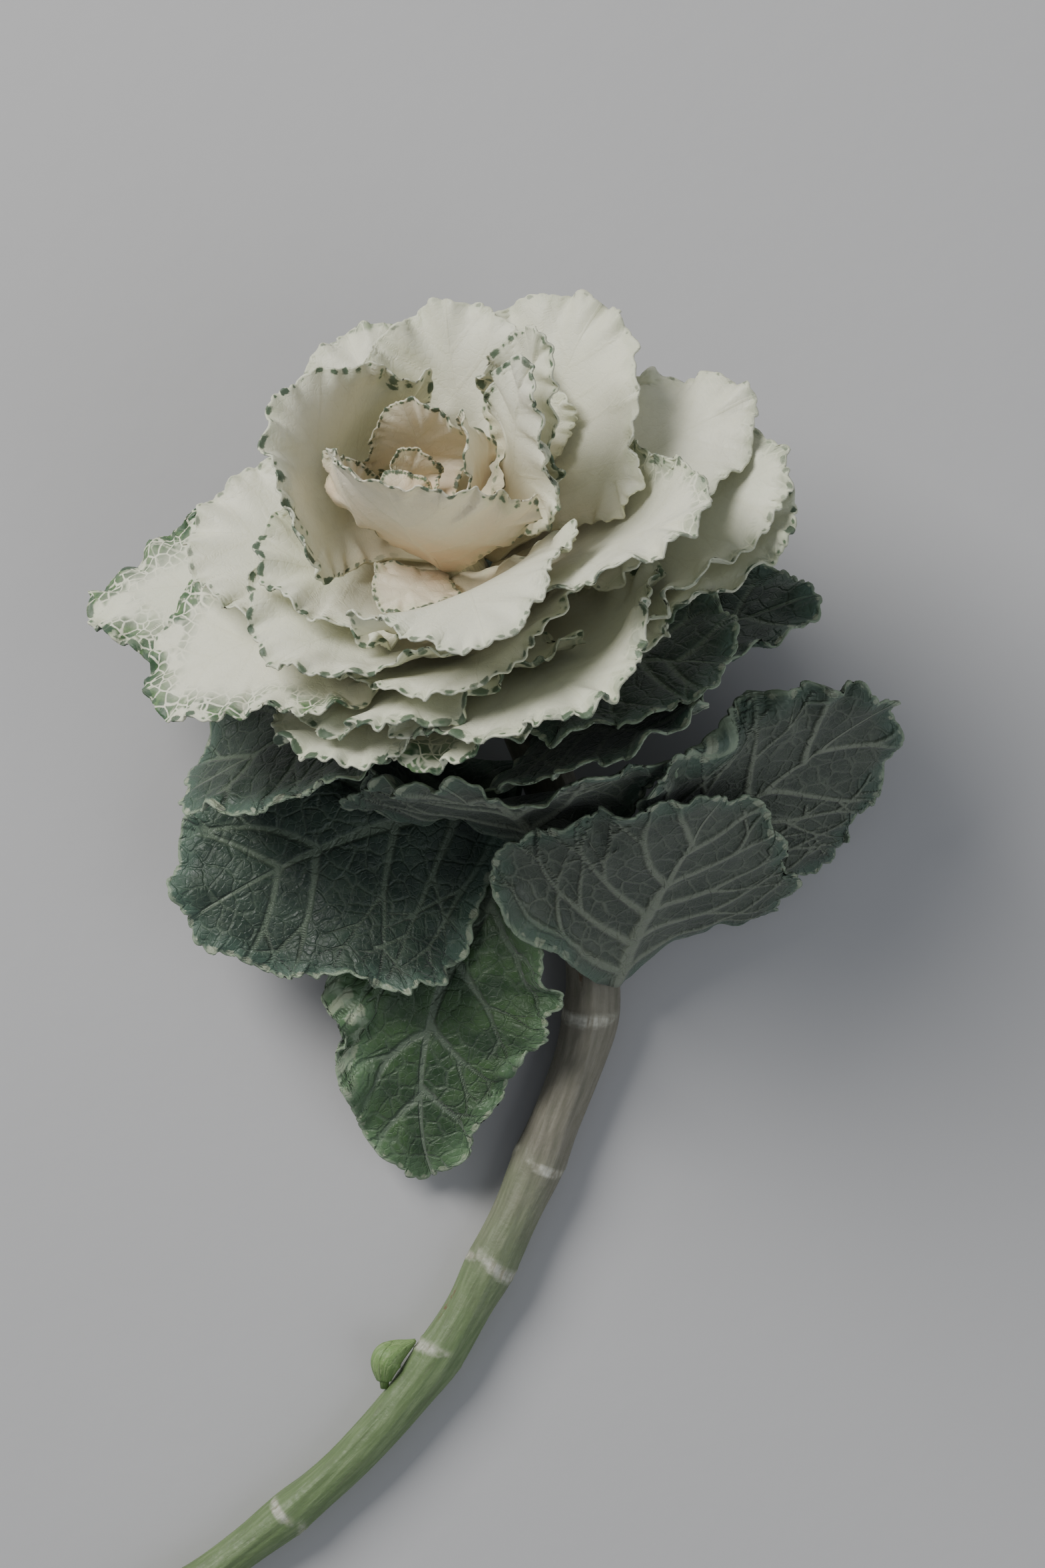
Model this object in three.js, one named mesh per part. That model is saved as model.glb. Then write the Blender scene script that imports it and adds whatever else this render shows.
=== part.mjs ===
// One cut stem of ornamental cabbage, lying on its side: a bent green stem that carries a rosette of
// white leaves round a cream heart, with looser green leaves below it. Millimetres, +Z up.
// The plant lies along Y with its head at +Y.
// The origin is the centre of its footprint, on the surface it lies on.
import * as THREE from "three";
import { ConvexHull } from "three/addons/math/ConvexHull.js";

// ---------------------------------------------------------------- driving dimensions
const STEM_DIAMETER = 9; // below the head
const CUT_DIAMETER = 6.2; // at the cut end
const THINS_BELOW = 100; // where the stem starts to thin towards its cut end
const TIP_DIAMETER = 3; // of the growing tip, which the smallest heart leaves surround
const TIP_LENGTH = 16; // over which the stem thins to that tip
const SCAR_SWELL = 0.45; // how far the stem swells at an old leaf scar
const SCAR_HALF_LENGTH = 5;
const SCARS_BELOW_TIP = [104, 131, 151, 169, 207, 232];
const CUT_SLANT_DEG = 35; // of the cut end
const BLADE_THICKNESS = 0.7;
const PETIOLE_THICKNESS = 1.8; // where a large leaf leaves the stem
const LARGE_LEAF_LENGTH = 50; // from which a leaf has its full petiole
const LEAF_SIZE = 1; // of all the leaves and the room between them, as a share of what is listed below
const JOINT_GAP = 0.35; // between a leaf's foot and the stem
// Between the middles of two leaves that press on each other, above their thickness.
const LEAF_CLEARANCE = 0.4;
const LEAF_GAP = (BLADE_THICKNESS + PETIOLE_THICKNESS) / 2 + LEAF_CLEARANCE;
const BUD = { below: 178, around: 190, length: 9, diameter: 5.2, lean: 5 }; // beside an old leaf scar

// The stem's centre line, from its growing tip to its cut end.
const STEM_LINE = [
  [-12.5, 42, 56],
  [-9.5, 34, 44],
  [-3.2, 20, 30.5],
  [3.5, 5, 19],
  [9.5, -14, 10.5],
  [13, -37, 6.2],
  [5.5, -61, 5],
  [-3.5, -81, 4.6],
  [-14.5, -100, 4.3],
  [-30, -118, 3.9],
  [-50, -134.5, 3.5],
  [-72, -149, 3.1],
].map((p) => new THREE.Vector3(...p));

// ---------------------------------------------------------------- the leaves, from the heart outwards
// below: how far below the growing tip the leaf joins the stem, along the stem.
// around: where it stands round the stem, in degrees: 0 right, 90 underneath, 180 left, 270 on top.
// lean: its angle from the stem at its foot, its middle and its tip, in degrees.
// cup: how far its two sides bend in (+) or out (-) over its whole width, in degrees.
// roll: how far it is turned about its midrib, in degrees. open: how far along it reaches its full width.
// waves: the height in mm, number and phase of the waves in its margin.
const HEART = {
  name: "heart_leaf", colour: 0xd8c8a8, cells: [6, 4],
  leaves: [
    { below: 0.6, around: 124, length: 11, lean: [58, 63, 68], width: 8, cup: 120 },
    { below: 1.4, around: 124, length: 8, lean: [19, 24, 29], width: 8, cup: 120 },
    { below: 2, around: 99, length: 11, lean: [27, 32, 37], width: 9, cup: 80 },
    { below: 2.8, around: 132, length: 18, lean: [37, 43, 49], width: 9, cup: 50 },
    { below: 5.4, around: 89, length: 21, lean: [26, 36, 46], width: 19, cup: 40 },
    { below: 6.4, around: 2, length: 29, lean: [2, 8, 12], width: 17, cup: 50 },
    { below: 7, around: 226, length: 34, lean: [6, 14, 26], width: 42, cup: 110 },
    { below: 9.5, around: 220, length: 16, lean: [48, 63, 78], width: 16, cup: 30 },
  ],
};
const WHITE = {
  name: "white_leaf", colour: 0xe6e6da, cells: [8, 6],
  leaves: [
    { below: 8, around: 354, length: 42, lean: [14, 21, 27], width: 22, cup: 20 },
    { below: 8.9, around: 132, length: 36, lean: [21, 41, 61], width: 42, cup: 60 },
    { below: 9.6, around: 12, length: 42, lean: [18, 28, 36], width: 26, cup: 20 },
    { below: 10.2, around: 268, length: 43, lean: [25, 55, 85], width: 38, cup: 20 },
    { below: 11, around: 176, length: 30, lean: [40, 60, 80], width: 36, cup: 40 },
    { below: 12, around: 68, length: 40, lean: [36, 56, 76], width: 42, cup: 30 },
    { below: 13.4, around: 29, length: 45, lean: [37, 57, 77], width: 52, cup: 30 },
    { below: 14, around: 317, length: 50, lean: [40, 60, 78], width: 42, cup: 80 },
    { below: 15, around: 204, length: 35, lean: [42, 67, 92], width: 46, cup: 40, waves: [1.5, 5, 0] },
    { below: 16, around: 149, length: 42, lean: [52, 72, 92], width: 48, cup: 30 },
    { below: 17, around: 262, length: 37, lean: [39, 64, 89], width: 46, cup: 30 },
    { below: 18, around: 356, length: 51, lean: [53, 73, 93], width: 46, cup: 40, waves: [2, 5, 1] },
    { below: 19, around: 179, length: 51, lean: [58, 83, 108], width: 50, cup: 30 },
    { below: 20, around: 91, length: 51, lean: [49, 64, 79], width: 44, cup: 30 },
  ],
};
const EDGED = {
  name: "edged_leaf", colour: 0xdde2cc, cells: [8, 6],
  leaves: [
    { below: 21, around: 236, length: 36, lean: [49, 69, 89], width: 54, cup: 30, waves: [2, 5, 2] },
    { below: 22, around: 151, length: 63, lean: [62, 82, 102], width: 46, cup: 20, waves: [1.5, 5, 0] },
    { below: 23, around: 279, length: 49, lean: [52, 72, 92], width: 50, cup: 20, waves: [1.5, 5, 3] },
    { below: 24.5, around: 340, length: 55, lean: [51, 71, 91], width: 46, cup: 30, waves: [1.5, 5, 1] },
    { below: 25.5, around: 214, length: 39, lean: [50, 70, 90], width: 44, cup: 30, waves: [1.5, 5, 2] },
    { below: 26.8, around: 335, length: 54, lean: [60, 75, 90], width: 38, cup: 20, waves: [1.5, 6, 1] },
    { below: 28, around: 254, length: 37, lean: [48, 68, 88], width: 42, cup: 20, waves: [1.5, 6, 1] },
  ],
};
const GREEN = {
  name: "green_leaf", colour: 0x4f6b50, cells: [8, 6],
  leaves: [
    { below: 29, around: 70, length: 59, lean: [59, 74, 89], width: 48, cup: 30 },
    { below: 33.5, around: 177, length: 53, lean: [78, 93, 108], width: 46, cup: 30, waves: [1.5, 5, 0] },
    { below: 34, around: 318, length: 39, lean: [82, 87, 92], width: 48, cup: 40 },
    { below: 36, around: 107, length: 50, lean: [61, 71, 81], width: 48, cup: 30 },
    { below: 39, around: 41, length: 46, lean: [76, 86, 96], width: 48, cup: 30 },
    { below: 43, around: 349, length: 48, lean: [85, 90, 95], width: 40, cup: 70, waves: [1, 5, 0] },
    { below: 48, around: 296, length: 40, lean: [65, 70, 75], width: 44, cup: 30 },
    { below: 70, around: 242, length: 42, lean: [40, 46, 54],
      width: 60, cup: 30, open: 0.5, waves: [2, 5, 1] },
    { below: 57, around: 179, length: 62, lean: [85, 95, 105],
      width: 58, cup: 30, roll: -57, open: 0.5, waves: [1.5, 5, 2] },
    { below: 71, around: 196, length: 65, lean: [111, 146, 181],
      width: 40, cup: 30, roll: -64, open: 0.4, waves: [1, 5, 0] },
    { below: 86, around: 342, length: 62, lean: [52, 62, 72],
      width: 56, cup: 30, roll: -56, open: 0.5, waves: [1, 5, 0] },
    { below: 96, around: 307, length: 46, lean: [31, 41, 51],
      width: 56, cup: 40, roll: -24, open: 0.3, waves: [1, 5, 1] },
  ],
};

// ---------------------------------------------------------------- how the stem runs
const UP = new THREE.Vector3(0, 0, 1);
const stemCurve = new THREE.CatmullRomCurve3(STEM_LINE, false, "centripetal");
const stemLength = stemCurve.getLength();

const clamp01 = (x) => Math.min(1, Math.max(0, x));
const smooth = (x) => clamp01(x) ** 2 * (3 - 2 * clamp01(x));
const radians = (degrees) => (degrees * Math.PI) / 180;

// The stem at a distance below its growing tip: its middle, the way to the tip, and the two ways across it.
function stemFrame(below) {
  const share = below / stemLength;
  const middle = stemCurve.getPointAt(share);
  const axis = stemCurve.getTangentAt(share).negate();
  const right = axis.clone().cross(UP).normalize();
  const under = axis.clone().cross(right);
  const outwards = (angle) =>
    right.clone().multiplyScalar(Math.cos(angle)).addScaledVector(under, Math.sin(angle));
  return { middle, axis, outwards };
}

function stemRadius(below) {
  const lower = clamp01((below - THINS_BELOW) / (stemLength - THINS_BELOW));
  const diameter = STEM_DIAMETER + (CUT_DIAMETER - STEM_DIAMETER) * lower;
  const thinned = TIP_DIAMETER + (diameter - TIP_DIAMETER) * smooth(below / TIP_LENGTH);
  const swell = SCARS_BELOW_TIP.reduce(
    (sum, scar) => sum + SCAR_SWELL * Math.exp(-(((below - scar) / SCAR_HALF_LENGTH) ** 2)), 0);
  return thinned / 2 + swell;
}

// ---------------------------------------------------------------- closed surfaces
// A closed body through rings of points, each ring in order round it, with its two ends filled in.
function throughRings(rings) {
  const count = rings[0].length;
  const points = rings.flat();
  const faces = [];
  for (let i = 0; i + 1 < rings.length; i++)
    for (let j = 0; j < count; j++) {
      const next = (j + 1) % count;
      const [a, b, c, d] = [i * count + j, i * count + next, (i + 1) * count + next, (i + 1) * count + j];
      faces.push(a, b, c, a, c, d);
    }
  const last = (rings.length - 1) * count;
  for (let j = 1; j + 1 < count; j++) {
    faces.push(0, j + 1, j);
    faces.push(last, last + j, last + j + 1);
  }
  return { points, faces };
}

// A closed body between two equal grids of points, joined round their rim.
function betweenGrids(front, back) {
  const rows = front.length;
  const columns = front[0].length;
  const points = [...front.flat(), ...back.flat()];
  const behind = rows * columns;
  const faces = [];
  for (let i = 0; i + 1 < rows; i++)
    for (let j = 0; j + 1 < columns; j++) {
      const a = i * columns + j;
      const [b, c, d] = [a + 1, a + columns + 1, a + columns];
      faces.push(a, b, c, a, c, d);
      faces.push(behind + a, behind + c, behind + b, behind + a, behind + d, behind + c);
    }
  const rim = [];
  for (let j = 0; j + 1 < columns; j++) rim.push(j);
  for (let i = 0; i + 1 < rows; i++) rim.push(i * columns + columns - 1);
  for (let j = columns - 1; j > 0; j--) rim.push((rows - 1) * columns + j);
  for (let i = rows - 1; i > 0; i--) rim.push(i * columns);
  rim.forEach((a, k) => {
    const b = rim[(k + 1) % rim.length];
    faces.push(a, behind + a, behind + b, a, behind + b, b);
  });
  return { points, faces };
}

// A mesh of that body, placed by a matrix: its geometry is in the matrix's own frame.
function meshOf({ points, faces }, name, colour, roughness, matrix) {
  const inverse = matrix.clone().invert();
  const geometry = new THREE.BufferGeometry();
  geometry.setFromPoints(points.map((p) => p.clone().applyMatrix4(inverse)));
  geometry.setIndex(faces);
  geometry.computeVertexNormals();
  const material = new THREE.MeshStandardMaterial({ color: colour, roughness, metalness: 0 });
  const mesh = new THREE.Mesh(geometry, material);
  mesh.name = name;
  matrix.decompose(mesh.position, mesh.quaternion, mesh.scale);
  return mesh;
}

// ---------------------------------------------------------------- the stem and its side bud
const STEM_SIDES = 14;
const STEM_RING_STEP = 4.5;
const BUD_SIDES = 8;
const BUD_PROFILE = [0.3, 0.75, 1, 0.85, 0.5, 0.12]; // its width from foot to tip, as shares of its diameter
const TIP_DOME_WIDTH = 0.6; // of the growing tip's end, as a share of its diameter

function stem() {
  const rings = [];
  const ringCount = Math.round(stemLength / STEM_RING_STEP);
  for (let i = 0; i <= ringCount; i++) {
    const below = (stemLength * i) / ringCount;
    const { middle, axis, outwards } = stemFrame(below);
    const slant = i === ringCount ? Math.tan(radians(CUT_SLANT_DEG)) : 0;
    const radius = stemRadius(below) * (i === 0 ? TIP_DOME_WIDTH : 1);
    rings.push(
      Array.from({ length: STEM_SIDES }, (_, j) => {
        const angle = (-2 * Math.PI * j) / STEM_SIDES;
        return outwards(angle)
          .multiplyScalar(radius)
          .add(middle)
          .addScaledVector(axis, radius * slant * Math.cos(angle));
      }),
    );
  }
  return meshOf(throughRings(rings), "stem", 0x7d8a66, 0.6, new THREE.Matrix4());
}

function sideBud() {
  const { middle, axis, outwards } = stemFrame(BUD.below);
  const out = outwards(radians(BUD.around));
  const foot = middle.clone().addScaledVector(out, stemRadius(BUD.below) + JOINT_GAP);
  const lean = radians(BUD.lean);
  const along = axis.clone().multiplyScalar(Math.cos(lean)).addScaledVector(out, Math.sin(lean));
  const across = along.clone().cross(out).normalize();
  const outer = across.clone().cross(along);
  const rings = BUD_PROFILE.map((share, i) => {
    const radius = (share * BUD.diameter) / 2;
    const centre = foot.clone()
      .addScaledVector(along, (BUD.length * i) / (BUD_PROFILE.length - 1))
      .addScaledVector(outer, radius);
    return Array.from({ length: BUD_SIDES }, (_, j) => {
      const angle = (-2 * Math.PI * j) / BUD_SIDES;
      return centre.clone()
        .addScaledVector(across, radius * Math.cos(angle))
        .addScaledVector(outer, radius * Math.sin(angle));
    });
  });
  return meshOf(throughRings(rings), "side_bud", 0x5d8a4a, 0.5, new THREE.Matrix4());
}

// ---------------------------------------------------------------- the shape of one leaf
const PETIOLE_SHARE = 0.16; // of the blade's width, at the foot
const OPEN_AT = 0.45; // how far along the leaf its blade reaches its full width, unless it has its own
const TIP_ROUNDING = 0.26; // how far the corners of the tip lie behind it, as a share of the length
const TIP_NARROWING = 0.3; // of the width, at the tip
const NARROWING_FROM = 0.62; // how far along the leaf it starts
const ROUNDING_FROM = 0.25;
const ROLLED_BY = 0.4; // how far along the leaf it has turned by its whole roll
const WAVES_FROM = 0.3;
const MIDRIB_STEPS = 48;

const halfWidth = (leaf, s) => {
  const opened = PETIOLE_SHARE + (1 - PETIOLE_SHARE) * smooth(s / (leaf.open ?? OPEN_AT));
  const narrowed = TIP_NARROWING * smooth((s - NARROWING_FROM) / (1 - NARROWING_FROM));
  return (leaf.width / 2) * opened * (1 - narrowed);
};
const alongMidrib = (leaf, s, t) =>
  leaf.length * (s - TIP_ROUNDING * t * t * smooth((s - ROUNDING_FROM) / (1 - ROUNDING_FROM)));
const petioleThickness = (leaf) =>
  PETIOLE_THICKNESS * Math.min(1, leaf.length / LARGE_LEAF_LENGTH / LEAF_SIZE);
const thickness = (leaf, s, t) =>
  BLADE_THICKNESS + (petioleThickness(leaf) - BLADE_THICKNESS) * (1 - s) ** 2 * (1 - t * t);

// A value that passes through three given ones at 0, 0.5 and 1.
const through = ([a, b, c], s) => a + (4 * b - 3 * a - c) * s + (2 * a + 2 * c - 4 * b) * s * s;

// The midrib as a run of frames: point, along it, inwards (to the upper side) and sideways.
function midrib(leaf) {
  const { middle, axis, outwards } = stemFrame(leaf.below);
  const halfPetiole = (petioleThickness(leaf) / 2) * Math.abs(Math.cos(radians(leaf.lean[0])));
  const footRadius = stemRadius(leaf.below) + JOINT_GAP + halfPetiole;
  const point = middle.clone().addScaledVector(outwards(radians(leaf.around)), footRadius);
  const frames = [];
  for (let i = 0; i <= MIDRIB_STEPS; i++) {
    const s = i / MIDRIB_STEPS;
    const out = outwards(radians(leaf.around));
    const lean = radians(through(leaf.lean, s));
    const along = out.clone().multiplyScalar(Math.sin(lean)).addScaledVector(axis, Math.cos(lean));
    const inwards = out.clone().multiplyScalar(-Math.cos(lean)).addScaledVector(axis, Math.sin(lean));
    inwards.applyAxisAngle(along, radians((leaf.roll ?? 0) * smooth(s / ROLLED_BY)));
    const sideways = inwards.clone().cross(along);
    frames.push({ point: point.clone(), along, inwards, sideways });
    point.addScaledVector(along, leaf.length / MIDRIB_STEPS);
  }
  return frames;
}

// The leaf's middle surface as rows of points, foot to tip, each from one side to the other.
function leafSurface(leaf, [rows, columns]) {
  const frames = midrib(leaf);
  const [waveHeight, waveCount, wavePhase] = leaf.waves ?? [0, 0, 0];
  const bend = radians(leaf.cup ?? 0) / leaf.width;
  const grid = [];
  for (let i = 0; i <= rows; i++) {
    const s = i / rows;
    const row = [];
    for (let j = 0; j <= columns; j++) {
      const t = (2 * j) / columns - 1;
      const x = t * halfWidth(leaf, s);
      const y = alongMidrib(leaf, s, t);
      const step = clamp01(y / leaf.length) * MIDRIB_STEPS;
      const before = frames[Math.floor(step)];
      const ahead = step - Math.floor(step);
      const round = Math.atan2(x, y - leaf.length / 2);
      const nearMargin = Math.max(Math.abs(t), s) ** 4 * smooth(s / WAVES_FROM);
      const wave = waveHeight * nearMargin * Math.sin(waveCount * round + wavePhase);
      const across = bend ? Math.sin(bend * x) / bend : x;
      const inwards = bend ? (1 - Math.cos(bend * x)) / bend : 0;
      row.push(
        before.point.clone()
          .addScaledVector(before.along, (ahead * leaf.length) / MIDRIB_STEPS)
          .addScaledVector(before.sideways, across)
          .addScaledVector(before.inwards, inwards + wave),
      );
    }
    grid.push(row);
  }
  return { grid, frame: frames[0] };
}

// The way inwards at each point of a grid.
function inwardNormals(grid) {
  return grid.map((row, i) =>
    row.map((_, j) => {
      const along = grid[Math.min(i + 1, grid.length - 1)][j].clone().sub(grid[Math.max(i - 1, 0)][j]);
      const across = row[Math.min(j + 1, row.length - 1)].clone().sub(row[Math.max(j - 1, 0)]);
      return along.cross(across).normalize();
    }),
  );
}

// ---------------------------------------------------------------- how the leaves press on each other
const PRESS_PASSES = 24;
const PRESS_REACH = 16 * LEAF_SIZE; // how deep inside its neighbour a leaf may start and still be pressed out
const PRESS_WIDTH = 5 * LEAF_SIZE; // how far sideways one point of a leaf is felt
const PRESS_SOFTNESS = 3; // how many points further a push spreads
const PRESS_EVENNESS = 20; // how far the ways of pushing are evened out over a leaf
const PRESS_STIFFNESS = 0.15; // how far a pushed leaf evens itself out at each pass
const HARD_PASSES = 4; // the last passes, without that evening out

// A leaf's grid of points with those half way between them.
function denser(grid) {
  const halfway = (row) => row.flatMap((p, j) => (j ? [row[j - 1].clone().lerp(p, 0.5), p] : [p]));
  const wider = grid.map(halfway);
  const between = (i) => wider[i].map((p, j) => p.clone().lerp(wider[i - 1][j], 0.5));
  return wider.flatMap((row, i) => (i ? [between(i), row] : [row]));
}

// What a leaf presses with: many points of it, and the box in which they can be felt.
function presser(grid) {
  const points = denser(denser(grid)).flat();
  return { points, reach: new THREE.Box3().setFromPoints(points).expandByScalar(PRESS_REACH) };
}

// How far a leaf's point must move outwards to clear the leaves inside it.
function pushAt(point, inwards, inner) {
  let most = 0;
  for (const { points, reach } of inner) {
    if (!reach.containsPoint(point)) continue;
    for (const q of points) {
      const x = q.x - point.x;
      const y = q.y - point.y;
      const z = q.z - point.z;
      const outside = -(x * inwards.x + y * inwards.y + z * inwards.z);
      if (outside < -LEAF_GAP || outside > PRESS_REACH) continue;
      const aside = Math.sqrt(Math.max(0, x * x + y * y + z * z - outside * outside));
      if (aside < PRESS_WIDTH)
        most = Math.max(most, (outside + LEAF_GAP) * (1 - smooth(2 * (aside / PRESS_WIDTH) - 1)));
    }
  }
  return most;
}

// A field over a leaf with each value raised towards the mean of its neighbours.
function spread(field) {
  const [last, end] = [field.length - 1, field[0].length - 1];
  const at = (i, j) => field[Math.min(Math.max(i, 0), last)][Math.min(Math.max(j, 0), end)];
  return field.map((row, i) =>
    row.map((value, j) =>
      Math.max(value, (at(i - 1, j) + at(i + 1, j) + at(i, j - 1) + at(i, j + 1)) / 4)));
}

// The mean of a point's four neighbours in a grid of vectors, whose rim repeats beyond it.
function meanAround(vectors, i, j) {
  const [last, end] = [vectors.length - 1, vectors[0].length - 1];
  const at = (row, column) => vectors[Math.min(Math.max(row, 0), last)][Math.min(Math.max(column, 0), end)];
  return at(i - 1, j).clone().add(at(i + 1, j)).add(at(i, j - 1)).add(at(i, j + 1)).multiplyScalar(0.25);
}

// The ways in which a leaf's points are pressed: across it, and nearly alike all over it.
function pressWays(grid) {
  let ways = inwardNormals(grid);
  for (let k = 0; k < PRESS_EVENNESS; k++)
    ways = ways.map((row, i) =>
      row.map((way, j) => meanAround(ways, i, j).multiplyScalar(4).add(way).normalize()));
  return ways;
}

// Moves a leaf's points outwards until they clear the leaves inside it. Its foot stays on the stem.
function pressOut(grid, inner) {
  const ways = pressWays(grid);
  const start = grid.map((row) => row.map((p) => p.clone()));
  for (let pass = 0; pass < PRESS_PASSES; pass++) {
    let push = grid.map((row, i) => row.map((p, j) => (i ? pushAt(p, ways[i][j], inner) : 0)));
    for (let k = 0; k < PRESS_SOFTNESS; k++) push = spread(push);
    grid.forEach((row, i) =>
      row.forEach((p, j) => p.addScaledVector(ways[i][j], -0.5 * push[i][j] * smooth(i / 2))));
    if (pass >= PRESS_PASSES - HARD_PASSES) continue;
    const moved = grid.map((row, i) => row.map((p, j) => p.clone().sub(start[i][j])));
    const even = (i, j) => moved[i][j].clone().lerp(meanAround(moved, i, j), PRESS_STIFFNESS);
    grid.forEach((row, i) =>
      row.forEach((p, j) => {
        if (i) p.copy(start[i][j]).add(even(i, j));
      }));
  }
}

// ---------------------------------------------------------------- the whole plant
function leafMeshes() {
  const meshes = [];
  const placed = [];
  for (const { name, colour, cells, leaves } of [HEART, WHITE, EDGED, GREEN])
    leaves.forEach((listed, k) => {
      const leaf = { ...listed };
      for (const size of ["below", "length", "width"]) leaf[size] *= LEAF_SIZE;
      const { grid, frame } = leafSurface(leaf, cells);
      pressOut(grid, placed);
      placed.push(presser(grid));
      const normals = inwardNormals(grid);
      const sheet = (side) =>
        grid.map((row, i) =>
          row.map((p, j) => {
            const half = thickness(leaf, i / cells[0], (2 * j) / cells[1] - 1) / 2;
            return p.clone().addScaledVector(normals[i][j], side * half);
          }),
        );
      const matrix = new THREE.Matrix4()
        .makeBasis(frame.sideways, frame.along, frame.inwards.clone().negate())
        .setPosition(frame.point);
      meshes.push(meshOf(betweenGrids(sheet(-1), sheet(1)), `${name}_${k + 1}`, colour, 0.6, matrix));
    });
  return meshes;
}

// The way down in which a body rests: it rolls from facet to facet of its hull until its weight stays put.
function restingWayDown(points, centreOfMass) {
  const { faces } = new ConvexHull().setFromPoints(points);
  let down = new THREE.Vector3(0, 0, -1);
  for (let roll = 0; roll < 40; roll++) {
    const depth = (face) => (face.constant - face.normal.dot(centreOfMass)) / face.normal.dot(down);
    const beneath = faces
      .filter((face) => face.normal.dot(down) > 1e-6)
      .reduce((nearest, face) => (depth(face) < depth(nearest) ? face : nearest));
    if (beneath.normal.dot(down) > 1 - 1e-12) break;
    down = beneath.normal.clone();
  }
  return down;
}

// The middle of all the meshes' matter, taken as of one density.
function centreOfMass(meshes) {
  const weighted = new THREE.Vector3();
  let volume = 0;
  const [a, b, c] = [0, 1, 2].map(() => new THREE.Vector3());
  for (const mesh of meshes) {
    const position = mesh.geometry.getAttribute("position");
    const index = mesh.geometry.index;
    for (let i = 0; i < index.count; i += 3) {
      [a, b, c].forEach((corner, k) =>
        corner.fromBufferAttribute(position, index.getX(i + k)).applyMatrix4(mesh.matrixWorld));
      const share = a.dot(b.clone().cross(c)) / 6;
      volume += share;
      weighted.addScaledVector(a.clone().add(b).add(c), share / 4);
    }
  }
  return weighted.divideScalar(volume);
}

const plant = new THREE.Group();
plant.name = "plant";
const meshes = [stem(), sideBud(), ...leafMeshes()];
plant.add(...meshes);
plant.updateMatrixWorld(true);

const allPoints = meshes.flatMap((mesh) => {
  const position = mesh.geometry.getAttribute("position");
  return Array.from({ length: position.count }, (_, i) =>
    new THREE.Vector3().fromBufferAttribute(position, i).applyMatrix4(mesh.matrixWorld));
});
const down = restingWayDown(allPoints, centreOfMass(meshes));
plant.quaternion.setFromUnitVectors(down, new THREE.Vector3(0, 0, -1));
const box = new THREE.Box3().setFromPoints(allPoints.map((p) => p.clone().applyQuaternion(plant.quaternion)));
plant.position.set(-(box.min.x + box.max.x) / 2, -(box.min.y + box.max.y) / 2, -box.min.z);

const group = new THREE.Group();
group.add(plant);

export default group;
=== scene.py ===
import math

import bmesh
import bpy
import numpy as np
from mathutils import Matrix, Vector


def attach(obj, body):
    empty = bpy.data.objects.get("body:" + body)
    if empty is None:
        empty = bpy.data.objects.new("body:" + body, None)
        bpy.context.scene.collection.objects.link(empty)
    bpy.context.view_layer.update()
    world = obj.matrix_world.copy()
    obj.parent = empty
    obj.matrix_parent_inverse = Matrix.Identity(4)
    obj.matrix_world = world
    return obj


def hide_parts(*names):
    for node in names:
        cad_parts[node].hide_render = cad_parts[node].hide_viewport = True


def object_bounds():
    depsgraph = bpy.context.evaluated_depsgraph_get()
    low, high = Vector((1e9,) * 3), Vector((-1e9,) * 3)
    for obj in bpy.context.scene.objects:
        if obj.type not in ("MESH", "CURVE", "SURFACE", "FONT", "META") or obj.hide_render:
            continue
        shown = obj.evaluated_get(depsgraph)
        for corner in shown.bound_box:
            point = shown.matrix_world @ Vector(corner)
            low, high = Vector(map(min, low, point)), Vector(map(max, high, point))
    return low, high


# One cut stem of ornamental cabbage, lying down. Each leaf of the frame is a coarse closed sheet. Its grid
# is read back from its mesh, made fine and smooth, and given its toothed and ruffled margin, its midrib and
# its veins. The plant's lengths are in millimetres up to where a mesh is made. Those of the floor, the lights
# and the camera are in metres.

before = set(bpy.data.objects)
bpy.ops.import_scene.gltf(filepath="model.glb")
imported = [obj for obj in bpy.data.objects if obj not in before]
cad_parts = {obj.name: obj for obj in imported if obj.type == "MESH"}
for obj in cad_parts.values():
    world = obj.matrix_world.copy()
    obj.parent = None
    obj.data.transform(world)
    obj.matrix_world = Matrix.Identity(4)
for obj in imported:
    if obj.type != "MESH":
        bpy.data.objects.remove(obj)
cad_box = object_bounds()
MM = 0.001
LOWEST = cad_box[0][2] / MM

# How the frame's pieces are divided: a leaf's rows and columns of cells, and the sides of the two tubes.
LEAF_CELLS = {"heart": (6, 4), "white": (8, 6), "edged": (8, 6), "green": (8, 6)}
STEM_SIDES, BUD_SIDES = 14, 8
WELD = 0.02  # points closer than this are one point


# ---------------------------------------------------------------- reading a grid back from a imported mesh
def sheet_faces(rows, columns):
    """The triangles of a closed sheet made of two grids of points, in the order of the frame's leaves."""
    wide, behind, faces = columns + 1, (rows + 1) * (columns + 1), []
    for i in range(rows):
        for j in range(columns):
            a = i * wide + j
            b, c, d = a + 1, a + wide + 1, a + wide
            faces += [(a, b, c), (a, c, d)]
            faces += [(behind + a, behind + c, behind + b), (behind + a, behind + d, behind + c)]
    rim = list(range(columns)) + [i * wide + columns for i in range(rows)]
    rim += [rows * wide + j for j in range(columns, 0, -1)] + [i * wide for i in range(rows, 0, -1)]
    for a, b in zip(rim, rim[1:] + rim[:1]):
        faces += [(a, behind + a, behind + b), (a, behind + b, b)]
    return faces


def tube_faces(rings, sides):
    """The triangles of a closed tube through rings of points."""
    faces = []
    for i in range(rings - 1):
        for j in range(sides):
            k = (j + 1) % sides
            a, b, c, d = i * sides + j, i * sides + k, (i + 1) * sides + k, (i + 1) * sides + j
            faces += [(a, b, c), (a, c, d)]
    last = (rings - 1) * sides
    for j in range(1, sides - 1):
        faces += [(0, j + 1, j), (last, last + j, last + j + 1)]
    return faces


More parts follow.
